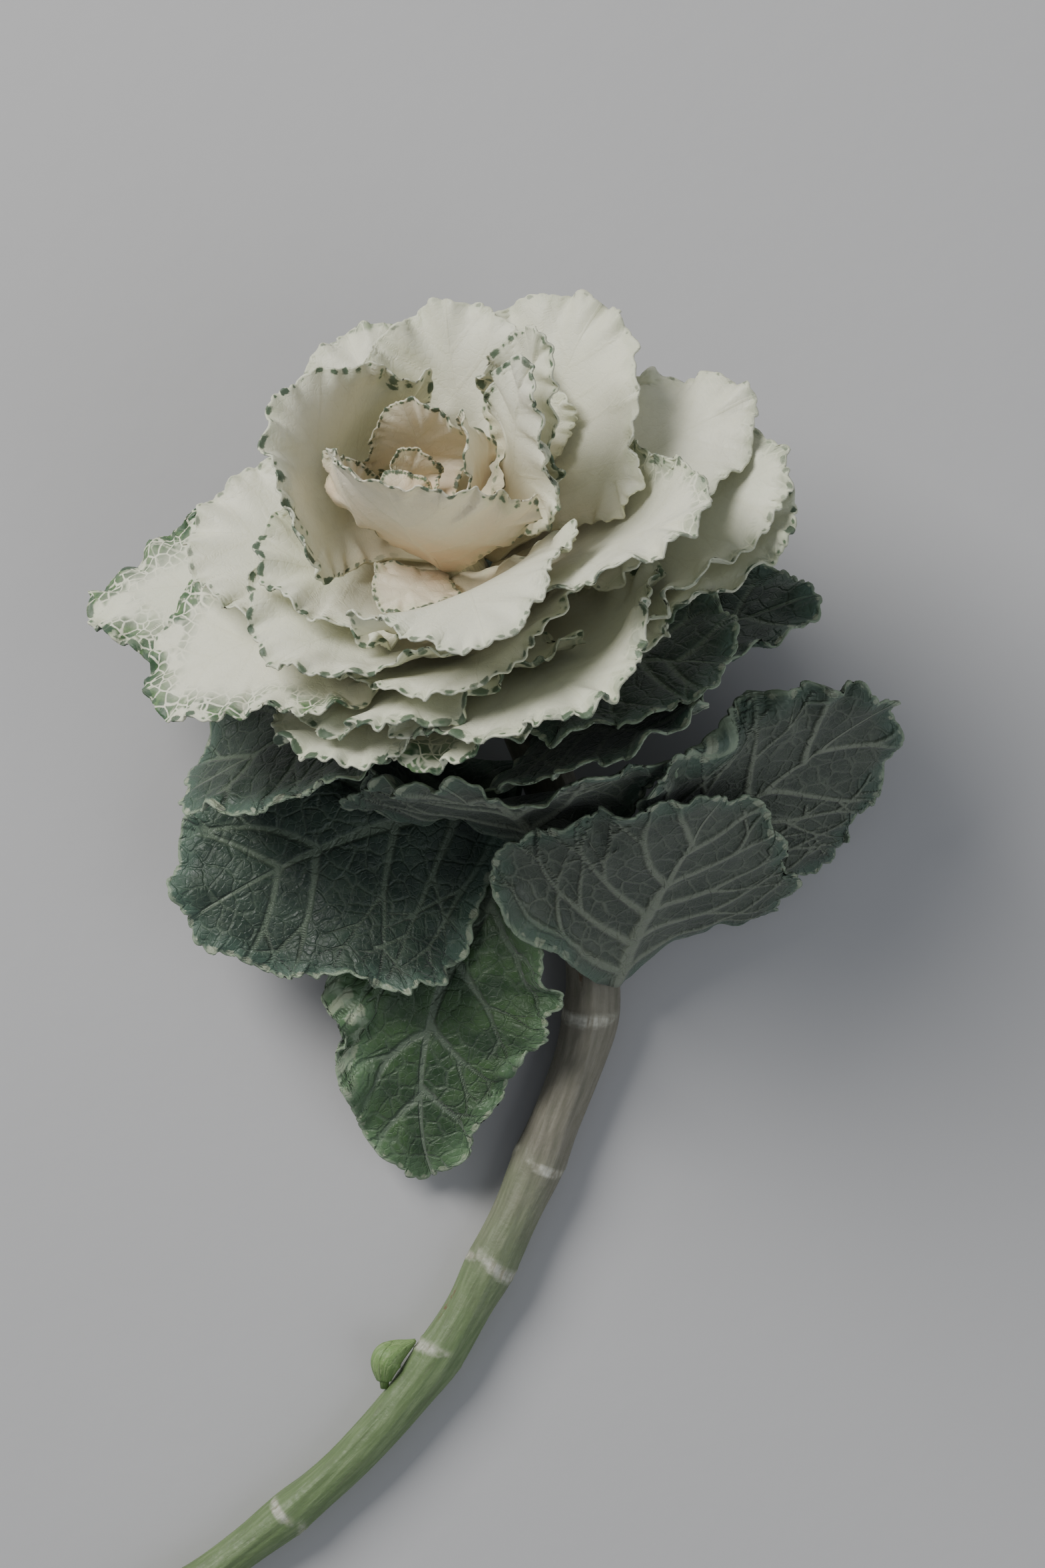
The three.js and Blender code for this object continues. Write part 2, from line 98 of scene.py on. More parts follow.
def opposite_corners(faces):
    """For each directed edge of a closed surface, the third corner of its triangle."""
    return {(f[k], f[(k + 1) % 3]): f[(k + 2) % 3] for f in faces for k in range(3)}


def lay_over(pattern, target, start, chosen):
    """Lays one triangulation over another from one edge of each, and returns corner to corner, or None."""
    (p, q), (a, b) = start, chosen
    placed, used, waiting = {p: a, q: b}, {a, b}, [(start, chosen)]
    done = set()
    while waiting:
        (p, q), (a, b) = waiting.pop()
        if (p, q) in done:
            continue
        r, c = pattern[(p, q)], target.get((a, b))
        if c is None:
            return None
        if r not in placed:
            if c in used:
                return None
            placed[r] = c
            used.add(c)
        elif placed[r] != c:
            return None
        done.update({(p, q), (q, r), (r, p)})
        waiting += [((q, p), (b, a)), ((r, q), (c, b)), ((p, r), (a, c))]
    return placed


def points_in_order(node, faces):
    """A node's welded points, in millimetres and in the order of the given triangles, each way that fits."""
    work = bmesh.new()
    work.from_mesh(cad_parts[node].data)
    bmesh.ops.remove_doubles(work, verts=work.verts, dist=WELD * MM)
    bmesh.ops.triangulate(work, faces=work.faces)
    work.verts.index_update()
    points = np.array([v.co for v in work.verts]) / MM
    target = opposite_corners([[v.index for v in f.verts] for f in work.faces])
    work.free()
    pattern = opposite_corners(faces)
    start = (faces[0][0], faces[0][1])
    ways = (lay_over(pattern, target, start, edge) for edge in target)
    return [points[[way[k] for k in range(len(points))]] for way in ways if way and len(way) == len(points)]


def leaf_grids(node, rows, columns):
    """A leaf's outer and inner sheets as grids of points, from its foot to its tip."""
    best = None
    for points in points_in_order(node, sheet_faces(rows, columns)):
        outer, inner = points.reshape(2, rows + 1, columns + 1, 3)
        foot = np.linalg.norm(outer[0, 0] - outer[0, -1])
        if best is None or foot < best[0]:
            best = (foot, outer, inner)
    return best[1], best[2]


# ---------------------------------------------------------------- smooth curves and surfaces
def spline_weights(knots, samples):
    """The matrix from values at evenly spaced knots to their natural cubic spline at samples in 0..1."""
    spans = knots - 1
    system, right = np.eye(knots), np.zeros((knots, knots))
    for k in range(1, spans):
        system[k, k - 1:k + 2] = (1, 4, 1)
        right[k, k - 1:k + 2] = (6, -12, 6)
    bends = np.linalg.solve(system, right)
    position = np.clip(samples, 0, 1) * spans
    k = np.minimum(position.astype(int), spans - 1)
    b = position - k
    a = 1 - b
    one = np.eye(knots)
    return (a[..., None] * one[k] + b[..., None] * one[k + 1]
            + ((a ** 3 - a)[..., None] * bends[k] + (b ** 3 - b)[..., None] * bends[k + 1]) / 6)


def smooth(x):
    """A smooth rise from nought to one as x does."""
    x = np.clip(x, 0, 1)
    return x * x * (3 - 2 * x)


def unit(vectors):
    """The same ways, each one long."""
    return vectors / np.maximum(np.linalg.norm(vectors, axis=-1, keepdims=True), 1e-9)


def wander(position, rng, reach, strength):
    """A smooth random curve at the given positions, which changes over about reach."""
    count = int(np.max(position) / reach) + 4
    values = rng.uniform(-1, 1, count)
    return strength * (spline_weights(count, position / (reach * (count - 1))) @ values)


# ---------------------------------------------------------------- meshes
def mesh_object(name, points, faces, attributes=None):
    """A smooth-shaded mesh of points in millimetres. Attributes are one number or three at each point."""
    mesh = bpy.data.meshes.new(name)
    mesh.vertices.add(len(points))
    mesh.vertices.foreach_set("co", (points * MM).astype(np.float32).ravel())
    faces = np.asarray(faces, np.int32)
    corners = faces.shape[1]
    mesh.loops.add(faces.size)
    mesh.loops.foreach_set("vertex_index", faces.ravel())
    mesh.polygons.add(len(faces))
    mesh.polygons.foreach_set("loop_start", np.arange(0, faces.size, corners, dtype=np.int32))
    mesh.update(calc_edges=True)
    mesh.validate()
    mesh.polygons.foreach_set("use_smooth", np.ones(len(mesh.polygons), bool))
    for key, values in (attributes or {}).items():
        values = np.asarray(values, np.float32)
        kind, field = ("FLOAT", "value") if values.ndim == 1 else ("FLOAT_VECTOR", "vector")
        mesh.attributes.new(key, kind, "POINT").data.foreach_set(field, values.ravel())
    made = bpy.data.objects.new(name, mesh)
    bpy.context.scene.collection.objects.link(made)
    return made


def grid_quads(rows, columns, start=0, flip=False):
    """The quads of a grid of points, of which start is the first."""
    a = (np.arange(rows - 1)[:, None] * columns + np.arange(columns - 1)[None, :]).ravel() + start
    quads = np.stack([a, a + 1, a + columns + 1, a + columns], 1)
    return quads[:, ::-1] if flip else quads


def closed_sheet(outer, inner):
    """The points and quads of a closed sheet between two equal grids."""
    rows, columns = outer.shape[:2]
    behind = rows * columns
    rim = np.concatenate([
        np.arange(columns - 1), np.arange(rows - 1) * columns + columns - 1,
        (rows - 1) * columns + np.arange(columns - 1, 0, -1), np.arange(rows - 1, 0, -1) * columns])
    after = np.roll(rim, -1)
    walls = np.stack([rim, rim + behind, after + behind, after], 1)
    quads = np.vstack([grid_quads(rows, columns), grid_quads(rows, columns, behind, True), walls])
    return np.vstack([outer.reshape(-1, 3), inner.reshape(-1, 3)]), quads


# ---------------------------------------------------------------- one leaf
LOOKS = {
    # fineness: mm between points. teeth: their width and depth. lobes: larger ones, the same.
    # crimp, ruffle: width and height of the waves across the margin. rib: width and height at the foot.
    # veins: how many on each side, and how high they stand on the outer face.
    # full: the width from which all this holds, narrower leaves having less of it.
    "heart": dict(fineness=0.42, teeth=(2.0, 0.5), lobes=(7.0, 0.5), crimp=(3.4, 0.3), ruffle=(7.5, 0.6),
                  rib=(1.2, 0.3), veins=(5, 0.04), blade=0.38, full=34),
    "white": dict(fineness=0.5, teeth=(2.3, 0.6), lobes=(9.0, 0.9), crimp=(4.0, 0.4), ruffle=(10.0, 1.0),
                  rib=(2.0, 0.5), veins=(6, 0.06), blade=0.45, full=44),
    "edged": dict(fineness=0.5, teeth=(2.5, 0.8), lobes=(10.0, 1.2), crimp=(4.2, 0.5), ruffle=(10.0, 1.2),
                  rib=(2.2, 0.6), veins=(6, 0.09), blade=0.45, full=44),
    "green": dict(fineness=0.5, teeth=(3.0, 1.0), lobes=(12.0, 1.9), crimp=(5.5, 0.4), ruffle=(13.0, 1.2),
                  rib=(2.6, 1.0), veins=(5, 0.28), blade=0.5, full=40),
}
TOOTH_REACH, CRIMP_REACH, RUFFLE_REACH = 3.0, 2.2, 5.5  # how far in from the margin each is felt
TOOTH_ROUNDNESS = 2.4  # 1 is a pointed tooth
SMALLNESS = 0.7  # the power by which a narrow leaf's teeth and waves shrink
FREE_FROM = 0.3  # the share of a leaf's length over which its plain edge becomes toothed
PETIOLE_REACH = 0.14  # the share of a leaf's length over which its foot thins to the blade
FOOT_PULLS = (1.0, 0.5)  # how far a leaf's first two rows go into the stem, across the joint
VEIN_STEP = 2.5  # the length of each piece of a vein
VEIN_HALF_WIDTH = 0.7
QUILT_REACH = 3.5  # how far from a vein the blade has swollen fully
MARGIN_STEP = 0.25  # between the points in which the margin is measured
CHUNK = 2000  # points measured at a time


def flat_map(surface, middle):
    """Each point's place on the leaf laid flat: across it from its midrib, and along it from its foot."""
    steps = np.diff(surface, axis=1)
    rib = surface[:, middle]
    forwards = unit(np.gradient(rib, axis=0))
    along = np.concatenate([[0], np.cumsum(np.linalg.norm(np.diff(rib, axis=0), axis=1))])
    rise = np.einsum("ijk,ik->ij", steps, forwards)
    across = np.sqrt(np.maximum(np.sum(steps ** 2, 2) - rise ** 2, 0))
    x = np.zeros(surface.shape[:2])
    x[:, 1:] = np.cumsum(across, 1)
    y = along[:, None] + np.einsum("ijk,ik->ij", surface - rib[:, None], forwards)
    return x - x[:, middle:middle + 1], y, along[-1]


def nearest_margin(x, y):
    """For each point, its distance to the margin, where along the margin that is, and the way out there."""
    line = np.concatenate([
        np.stack([x[:, 0], y[:, 0]], 1), np.stack([x[-1, 1:-1], y[-1, 1:-1]], 1),
        np.stack([x[::-1, -1], y[::-1, -1]], 1)])
    travelled = np.concatenate([[0], np.cumsum(np.linalg.norm(np.diff(line, axis=0), axis=1))])
    fine = np.linspace(0, travelled[-1], int(travelled[-1] / MARGIN_STEP))
    line = np.stack([np.interp(fine, travelled, line[:, k]) for k in (0, 1)], 1)
    forwards = unit(np.gradient(line, axis=0))
    outwards = np.stack([-forwards[:, 1], forwards[:, 0]], 1)
    points = np.stack([x.ravel(), y.ravel()], 1)
    nearest = np.empty(len(points), int)
    for k in range(0, len(points), CHUNK):
        part = points[k:k + CHUNK]
        gaps = (part[:, 0:1] - line[None, :, 0]) ** 2 + (part[:, 1:2] - line[None, :, 1]) ** 2
        nearest[k:k + CHUNK] = gaps.argmin(1)
    distance = np.linalg.norm(points - line[nearest], axis=1)
    return distance.reshape(x.shape), fine[nearest].reshape(x.shape), outwards[nearest].reshape(*x.shape, 2)


def vein_lines(length, half_width, count, rng):
    """A leaf's side veins laid flat: pieces of line, each with its two ends and how wide it is."""
    pieces = []

    def grow(start, angle, side, share, reach, forks):
        spot, travelled, fork_at = np.array(start), 0.0, reach * rng.uniform(0.3, 0.5)
        curl = rng.uniform(0.4, 1.1)
        while travelled < reach and abs(spot[0]) < 1.15 * half_width:
            angle = angle - math.radians(curl * VEIN_STEP) + rng.normal(0, 0.05)
            following = spot + VEIN_STEP * np.array([side * math.sin(angle), math.cos(angle)])
            pieces.append((*spot, *following, share * (1 - 0.45 * travelled / reach)))
            spot, travelled = following, travelled + VEIN_STEP
            if forks and travelled > fork_at:
                splay = math.radians(rng.uniform(24, 38)) * (1 if rng.random() < 0.6 else -1)
                grow(spot, angle + splay, side, 0.62 * share, (reach - travelled) * 0.85, forks - 1)
                angle, fork_at = angle - 0.25 * splay, travelled + reach * rng.uniform(0.2, 0.35)

    for side in (-1, 1):
        for k in range(count):
            up = length * (0.04 + 0.84 * ((k + rng.uniform(0.0, 0.45)) / count) ** 1.15)
            angle = math.radians(70 - 24 * k / count + rng.uniform(-6, 6))
            grow((0.0, up), angle, side, 1 - 0.35 * k / count, (1.05 - 0.4 * k / count) * 1.2 * half_width, 2)
    return np.array(pieces)


def vein_distance(x, y, pieces):
    """How far each point is from the nearest of the veins, farther where that vein is thin."""
    start, way = pieces[:, 0:2], pieces[:, 2:4] - pieces[:, 0:2]
    squared = np.sum(way ** 2, 1)
    points = np.stack([x.ravel(), y.ravel()], 1)
    nearest = np.empty(len(points))
    for k in range(0, len(points), CHUNK):
        dx = points[k:k + CHUNK, 0:1] - start[None, :, 0]
        dy = points[k:k + CHUNK, 1:2] - start[None, :, 1]
        share = np.clip((dx * way[:, 0] + dy * way[:, 1]) / squared, 0, 1)
        gaps = np.hypot(dx - share * way[:, 0], dy - share * way[:, 1]) / pieces[:, 4]
        nearest[k:k + CHUNK] = gaps.min(1)
    return nearest.reshape(x.shape)


def fine_surface(node, kind):
    """A leaf's middle surface as a fine smooth grid, its foot's thickness and its greatest width."""
    rows, columns = LEAF_CELLS[kind]
    outer, inner = leaf_grids(node, rows, columns)
    coarse = (outer + inner) / 2
    foot_thickness = np.linalg.norm(outer[0, columns // 2] - inner[0, columns // 2])
    longest = np.linalg.norm(np.diff(coarse[:, columns // 2], axis=0), axis=1).sum()
    widest = max(np.linalg.norm(np.diff(row, axis=0), axis=1).sum() for row in coarse)
    fineness = LOOKS[kind]["fineness"]
    down = spline_weights(rows + 1, np.linspace(0, 1, int(longest / fineness)))
    over = spline_weights(columns + 1, np.linspace(0, 1, 2 * int(widest / fineness / 2) + 1))
    return np.einsum("ai,bj,ijk->abk", down, over, coarse), foot_thickness, widest


def ways_inwards(surface):
    """The way from a leaf's outer face to its inner one, at each point."""
    return unit(np.cross(np.gradient(surface, axis=0), np.gradient(surface, axis=1)))


def toothed(look, place, small, rng):
    """How far teeth and lobes move the margin outwards, the teeth counted along it, and a tooth's width."""
    tooth_width, tooth_depth = (small * v for v in look["teeth"])
    tooth = place / tooth_width + wander(place, rng, 3 * tooth_width, 0.45) + rng.uniform(0, 1)
    bump = 1 - np.abs(2 * (tooth % 1) - 1) ** TOOTH_ROUNDNESS
    lobe_width, lobe_depth = (small * v for v in look["lobes"])
    lobe = place / lobe_width + wander(place, rng, 2 * lobe_width, 0.4)
    swell = 0.5 - 0.5 * np.cos(2 * np.pi * lobe)
    size = 0.75 + wander(place, rng, 9, 0.35)
    return tooth_depth * (bump - 0.7) * size + lobe_depth * (swell - 0.6), tooth, tooth_width


def waved(look, place, margin, small, rng):
    """How far crimps and ruffles move each point across the leaf."""
    crimp_width, crimp_height = (small * v for v in look["crimp"])
    ruffle_width, ruffle_height = (small * v for v in look["ruffle"])
    crimp = np.sin(2 * np.pi * (place / crimp_width + wander(place, rng, 2 * crimp_width, 0.5)))
    ruffle = np.sin(2 * np.pi * (place / ruffle_width + wander(place, rng, ruffle_width, 0.35)))
    strength = 0.8 + wander(place, rng, 14, 0.5)
    wave = crimp_height * crimp * np.exp(-(margin / CRIMP_REACH) ** 2)
    return wave + ruffle_height * strength * (ruffle + 0.35) * np.exp(-(margin / RUFFLE_REACH) ** 2)


def two_faces(look, surface, foot_thickness, x, y, length, margin, vein):
    """A leaf's outer and inner faces, with its midrib and its veins raised on the outer one."""
    inwards = ways_inwards(surface)
    rib_width, rib_height = look["rib"]
    fade = 1 - 0.85 * smooth(y / length / 0.9)
    rib = np.exp(-(x / (rib_width * (0.25 + 0.75 * fade))) ** 2) * fade
    blade = look["blade"] * (0.7 + 0.3 * smooth(margin / 1.5))
    petiole = (foot_thickness - blade) * np.exp(-(y / (PETIOLE_REACH * length)) ** 2)
    sideways = np.abs(x) / (np.abs(x).max(1, keepdims=True) + 0.3)
    half = (blade + np.maximum(petiole, 0) * (1 - smooth(sideways) * 0.6)) / 2
    outside = surface - inwards * (half + rib_height * rib + look["veins"][1] * vein)[..., None]
    inside = surface + inwards * (half - 0.3 * rib_height * rib * smooth(y / (0.2 * length)))[..., None]

    back = unit(surface[0] - surface[1])
    pull = np.array(FOOT_PULLS)[:, None, None]
    outside[:2] += back[None] * pull
    inside[:2] += back[None] * pull

    # what would go below the surface rests on it
    rise = np.maximum(LOWEST - np.minimum(outside[..., 2], inside[..., 2]), 0)
    outside[..., 2] += rise
    inside[..., 2] += rise
    return outside, inside


def build_leaf(node, kind, number, tone):
    """The leaf that stands for a node of the frame. tone: how green, warm and plain it is, each in 0..1."""
    look = LOOKS[kind]
    rng = np.random.default_rng(1000 * (1 + list(LOOKS).index(kind)) + number)
    surface, foot_thickness, widest = fine_surface(node, kind)
    rows, columns = surface.shape[:2]
    x, y, length = flat_map(surface, columns // 2)
    half_width = max(-x.min(), x.max())
    margin, place, outwards = nearest_margin(x, y)
    across, inwards = unit(np.gradient(surface, axis=1)), ways_inwards(surface)
    onwards = unit(np.cross(across, inwards))
    free = smooth(y / (FREE_FROM * length))
    small = min(1.0, widest / look["full"]) ** SMALLNESS

    # teeth and lobes move the margin in the leaf's own surface, and crimps and ruffles move it across
    out, tooth, tooth_width = toothed(look, place, small, rng)
    out = out * free * np.exp(-(margin / TOOTH_REACH) ** 2)
    shift = outwards * out[..., None]
    surface = surface + across * shift[..., 0:1] + onwards * shift[..., 1:2]
    surface = surface + inwards * (waved(look, place, margin, small, rng) * free)[..., None]

    # veins are raised on the outer face, with the blade a little quilted between them
    vein_count, relief = look["veins"]
    apart = vein_distance(x, y, vein_lines(length, half_width, vein_count, rng))
    vein = np.exp(-(apart / VEIN_HALF_WIDTH) ** 2) * smooth(margin / 2)
    quilt = relief * (smooth(apart / QUILT_REACH) - 0.5) * smooth(margin / 4) * free
    surface = surface + inwards * quilt[..., None]
    outside, inside = two_faces(look, surface, foot_thickness, x, y, length, margin, vein)

    points, quads = closed_sheet(outside, inside)
    count = x.size
    ones = np.ones(2 * count)

    def twice(values):
        return np.tile(values.ravel(), 2)

    # the third coordinate gives each leaf patterns of its own
    attributes = {
        "flat": np.stack([twice(x), twice(y), ones * (10 * number + 3 * len(kind))], 1),
        "margin": np.stack([twice(margin), twice(tooth), ones * tooth_width], 1),
        "vein": np.stack([twice(apart), twice(free), ones * small], 1),
        "place": np.stack([twice(y / length), twice(np.abs(x) / half_width),
                           np.concatenate([np.ones(count), np.zeros(count)])], 1),
        "tone": np.tile(np.array(tone, float), (2 * count, 1)),
    }
    made = mesh_object("leaf_" + node, points, quads, attributes)
    lay_out(made, rows, columns, x, y)
    made.data.materials.append(MATERIALS[kind])
    return made


def lay_out(made, rows, columns, x, y):
    """A map for textures: the outer face on the left, the inner one on the right, the rim with the outer."""
    x0, y0 = (x - x.min()) / np.ptp(x), (y - y.min()) / np.ptp(y)
    edge = 0.02
    left = np.stack([edge + (0.5 - 2 * edge) * x0.ravel(), edge + (1 - 2 * edge) * y0.ravel()], 1)
    right = left + (0.5, 0)
    spots = np.vstack([left, right]).astype(np.float32)
    mesh = made.data
    layer = mesh.uv_layers.new(name="OFBake")
    corners = np.empty(len(mesh.loops), np.int32)
    mesh.loops.foreach_get("vertex_index", corners)
    uv = spots[corners]
    quads = corners.reshape(-1, 4)
    mixed = (quads < rows * columns).any(1) & (quads >= rows * columns).any(1)
    on_rim = np.repeat(mixed, 4)
    uv[on_rim] = spots[corners[on_rim] % (rows * columns)]
    layer.data.foreach_set("uv", uv.ravel())


# ---------------------------------------------------------------- materials
class Paint:
    """Builds a material's nodes from nested expressions. Patterns lie in millimetres over each piece."""

    def __init__(self, name):
        self.material = bpy.data.materials.new(name)
        self.material.use_nodes = True
        self.nodes, self.links = self.material.node_tree.nodes, self.material.node_tree.links
        self.shader = self.nodes["Principled BSDF"]
        self.known = {}

    def node(self, kind, out=0, inputs=None, **settings):
        made = self.nodes.new("ShaderNode" + kind)
        for key, value in settings.items():
            setattr(made, key, value)
        for key, value in (inputs or {}).items():
            self.join(made.inputs[key], value)
        return made.outputs[out]

    def join(self, socket, value):
        if isinstance(value, bpy.types.NodeSocket):
            self.links.new(value, socket)
        else:
            socket.default_value = value

    def math(self, operation, *values, clamp=False):
        return self.node("Math", inputs=dict(enumerate(values)), operation=operation, use_clamp=clamp)

    def add(self, a, b):
        return self.math("ADD", a, b)

    def times(self, a, b):
        return self.math("MULTIPLY", a, b)

    def vector(self, name):
        if name not in self.known:
            self.known[name] = self.node("Attribute", "Vector", attribute_name=name)
        return self.known[name]

    def part(self, name, index):
        if (name, 3) not in self.known:
            self.known[name, 3] = self.node("SeparateXYZ", inputs={0: self.vector(name)}).node
        return self.known[name, 3].outputs[index]

    def rest(self, share):
        """What a share leaves of the whole."""
        return self.math("SUBTRACT", 1.0, share, clamp=True)

    def swing(self, noise, reach):
        """A noise made to swing round nought, reach being the whole of its swing."""
        return self.times(self.add(noise, -0.5), reach)

    def fall(self, value, low, high):
        """A smooth fall from one to nought as value goes from low to high."""
        return self.rest(self.step(value, low, high))

    def step(self, value, low, high, bottom=0.0, top=1.0):
        """A smooth rise from bottom to top as value goes from low to high."""
        return self.node("MapRange", inputs={0: value, 1: low, 2: high, 3: bottom, 4: top},
                         interpolation_type="SMOOTHSTEP")

    def mix(self, share, a, b):
        made = self.nodes.new("ShaderNodeMix")
        made.data_type = "RGBA"
        self.join(made.inputs[0], share)
        for slot, colour in ((6, a), (7, b)):
            self.join(made.inputs[slot], (*colour, 1.0) if isinstance(colour, tuple) else colour)
        return made.outputs[2]

    def noise(self, scale, where=None, detail=3.0, rough=0.55):
        return self.node("TexNoise", "Fac", {"Vector": self.vector("flat") if where is None else where,
                                             "Scale": scale, "Detail": detail, "Roughness": rough})

    def bent(self, scale, reach):
        """The piece's flat coordinates, bent by a noise, for patterns that aren't too even."""
        noise = self.node("TexNoise", "Color", {"Vector": self.vector("flat"), "Scale": scale, "Detail": 2.0})
        moved = self.node("VectorMath", inputs={0: noise, 1: (0.5, 0.5, 0.5)}, operation="SUBTRACT")
        moved = self.node("VectorMath", inputs={0: moved, "Scale": reach}, operation="SCALE")
        return self.node("VectorMath", inputs={0: self.vector("flat"), 1: moved}, operation="ADD")

    def cells(self, scale, where, seams=False):
        """How far each point is from the middle of its cell, or from the seam between two."""
        feature = "DISTANCE_TO_EDGE" if seams else "F1"
        return self.node("TexVoronoi", "Distance", {"Vector": where, "Scale": scale}, feature=feature)

    def finish(self, colour, roughness, height, depth_mm, soft=0.0, tint=(1.0, 0.9, 0.7), sheen=0.0):
        self.join(self.shader.inputs["Base Color"], colour)
        self.join(self.shader.inputs["Roughness"], roughness)
        bump = self.node("Bump", "Normal", {"Height": height, "Strength": 1.0, "Distance": depth_mm * MM})
        self.join(self.shader.inputs["Normal"], bump)
        self.shader.inputs["Specular IOR Level"].default_value = 0.38
        self.shader.inputs["Subsurface Weight"].default_value = soft
        self.shader.inputs["Subsurface Radius"].default_value = tint
        self.shader.inputs["Subsurface Scale"].default_value = 0.8 * MM
        self.shader.inputs["Sheen Weight"].default_value = sheen
        return self.material


def leaf_veins(p, width):
    """The strength of a leaf's midrib and side veins, its fine net and its finest mesh, each in 0..1."""
    out = p.part("place", 1)
    up = p.part("place", 0)
    thin = p.step(out, 0.0, 1.0, width, 0.45 * width)
    apart = p.add(p.part("vein", 0), p.swing(p.noise(0.7), 0.5))
    side = p.fall(p.math("DIVIDE", apart, thin), 0.3, 1.25)
    rib_width = p.step(up, 0.0, 0.9, 1.6 * width, 0.3 * width)
    rib = p.math("ABSOLUTE", p.part("flat", 0))
    rib = p.fall(p.math("DIVIDE", rib, rib_width), 0.5, 1.15)
    main = p.math("MAXIMUM", side, rib)
    where = p.bent(0.3, 1.6)
    net = p.fall(p.cells(0.3, where, seams=True), 0.01, 0.11)
    mesh = p.fall(p.cells(0.85, where, seams=True), 0.01, 0.13)
    return main, net, mesh


def tooth_spots(p, least, most, inset):
    """Spots at the tips of a leaf's teeth, of a random size each. There are fewer where the leaf is plain."""
    plain = p.part("tone", 2)
    number = p.math("FLOOR", p.part("margin", 1))
    chance = p.node("TexWhiteNoise", "Value", {"Vector": p.node("CombineXYZ", inputs={
        0: number, 1: p.part("flat", 2)})})
    across = p.swing(p.math("FRACT", p.part("margin", 1)), p.part("margin", 2))
    across = p.times(across, 0.68)
    size = p.add(p.add(chance, p.swing(p.noise(0.045), 1.2)), p.times(plain, -0.7))
    radius = p.step(size, 0.15, 0.9, least, most)
    deep = p.add(p.part("margin", 0), -inset)
    wobble = p.swing(p.noise(1.6), 0.7)
    distance = p.math("SQRT", p.add(p.times(across, across), p.times(deep, deep)))
    distance = p.add(distance, wobble)
    spot = p.fall(p.math("SUBTRACT", distance, radius), -0.12, 0.12)
    spot = p.times(spot, p.rest(p.times(plain, p.step(size, 0.0, 0.3, 0.95, 0.4))))
    return p.times(spot, p.part("vein", 1)), chance


def pale_leaf(name, blade, foot, foot_reach, spots, edge, soft):
    """A white or cream leaf: warm and darker at its foot, partly its own colour and partly painted shade
    where leaves cover one another, spotted green on its teeth, and mottled where it is green.
    """
    p = Paint(name)
    main, net, mesh = leaf_veins(p, 0.6)
    green, warm = p.part("tone", 0), p.part("tone", 1)
    broad, fine = p.noise(0.06), p.noise(0.5, detail=5.0)
    up = p.add(p.part("place", 0), p.swing(broad, 0.25))
    # the foot's colour, warmer and darker than the blade, is partly the leaf's own and partly painted shade
    # where leaves cover one another's bases; warm leaves carry it further up
    colour = p.mix(p.step(up, 0.02, foot_reach), foot, blade)
    colour = p.mix(p.times(warm, p.step(up, 0.2, 0.95, 0.8, 0.3)), colour, foot)
    colour = p.mix(p.step(broad, 0.4, 0.7, 0.0, 0.35), colour, (0.84, 0.82, 0.70))
    colour = p.mix(p.step(fine, 0.45, 0.75, 0.0, 0.22), colour, (0.62, 0.61, 0.48))
    colour = p.mix(p.times(main, 0.16), colour, (0.70, 0.69, 0.50))
    colour = p.mix(p.times(net, 0.05), colour, (0.62, 0.62, 0.46))
    # a faint green along the margin, in mesh-like patches where the leaf is greener
    deep = p.part("margin", 0)
    ragged = p.add(deep, p.swing(p.noise(0.28, detail=4.0), 7.0))
    near = p.fall(ragged, 0.0, edge)
    colour = p.mix(p.times(near, 0.28), colour, (0.46, 0.52, 0.32))
    patch = p.fall(ragged, 1.0, p.add(p.times(green, 12.0), 1.0))
    patch = p.times(patch, p.step(green, 0.05, 0.5))
    islands = p.step(p.cells(0.5, p.bent(0.4, 0.7), seams=True), 0.03, 0.10)
    patch = p.times(p.times(patch, islands), p.step(p.noise(0.13, detail=3.0), 0.44, 0.52))
    patch = p.times(patch, p.rest(p.times(main, 0.6)))
    leafy = p.mix(p.step(fine, 0.35, 0.7), (0.050, 0.105, 0.052), (0.14, 0.24, 0.10))
    colour = p.mix(p.times(patch, p.part("vein", 1)), colour, leafy)
    spot, chance = tooth_spots(p, *spots)
    colour = p.mix(p.times(spot, 0.93), colour, p.mix(chance, (0.13, 0.20, 0.115), (0.035, 0.075, 0.042)))
    rough = p.step(fine, 0.3, 0.7, 0.42, 0.6)
    height = p.add(p.times(main, 0.10), p.add(p.times(fine, 0.28), p.times(mesh, -0.05)))
    return p.finish(colour, rough, height, 0.35, soft=soft, sheen=0.08)


